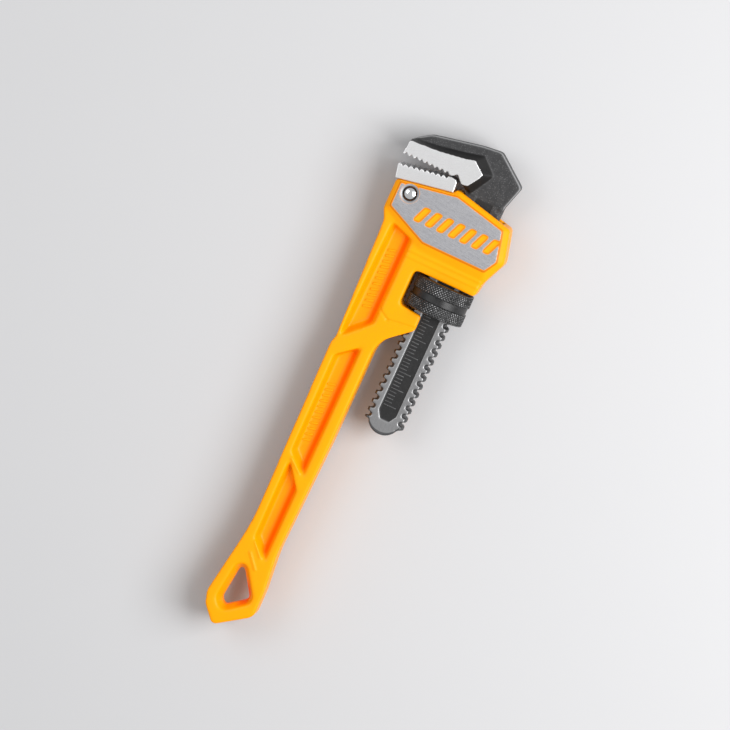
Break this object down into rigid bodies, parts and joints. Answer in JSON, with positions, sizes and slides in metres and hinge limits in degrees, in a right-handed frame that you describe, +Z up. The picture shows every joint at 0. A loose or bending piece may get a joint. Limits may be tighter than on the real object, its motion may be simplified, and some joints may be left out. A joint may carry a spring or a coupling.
{
  "type": "pipe wrench",
  "caption": "Straight pipe wrench with a toothed hook jaw on a flat-sided threaded shank, a pinned heel jaw, a knurled ring nut and a ribbed I-section handle with a hang hole.",
  "frame": {"origin": "under the middle of the closed wrench, level with the lowest point of the nut's rim", "axes": "+Y along the wrench from the handle to the head, +X across it away from the jaws' mouth, +Z up through its thickness; the wrench lies on its side"},
  "size_m": [0.0764, 0.306, 0.0337],
  "materials": {
    "orange_paint": "gloss enamel over a cast surface; the head's flats and sunk bars are ground and painted",
    "jaw_steel": "ground",
    "pin_steel": "polished dome",
    "black_forging": "black forged surface with ground faces on the toothed block and rails",
    "black_nut": "semi-gloss black, knurled",
    "spring_steel": "blued spring steel",
    "rivet_steel": "plain"
  },
  "bodies": {
    "housing": {"handle_body": "orange_paint", "heel_jaw": "jaw_steel", "heel_jaw_pin": "pin_steel", "flat_spring_rivet": "rivet_steel", "coil_spring": "spring_steel"},
    "rocker": {"flat_spring": "spring_steel"},
    "nut": {"adjusting_nut": "black_nut"},
    "hook": {"hook_jaw": "black_forging"}
  },
  "joints": [
    {"name": "jaw_rock", "type": "hinge", "parent": "housing", "child": "rocker", "pos_m": [0.01361, 0.06421, 0.01685], "axis": [0, 0, 1], "range_deg": [-1.5, 0], "stiffness_Nm_per_rad": 10, "springref_deg": 2.86, "deforming": ["flat_spring", "coil_spring"]},
    {"name": "nut_spin", "type": "hinge", "parent": "rocker", "child": "nut", "pos_m": [0.01361, 0.06421, 0.01685], "axis": [0, -1, 0], "range_deg": [0, 3600]},
    {"name": "jaw_slide", "type": "slide", "parent": "rocker", "child": "hook", "axis": [0, 1, 0], "range_m": [0, 0.05]}
  ],
  "couplings": [
    {"joint": "nut_spin", "follows": "jaw_slide", "rad_per_m": 1256.6}
  ]
}
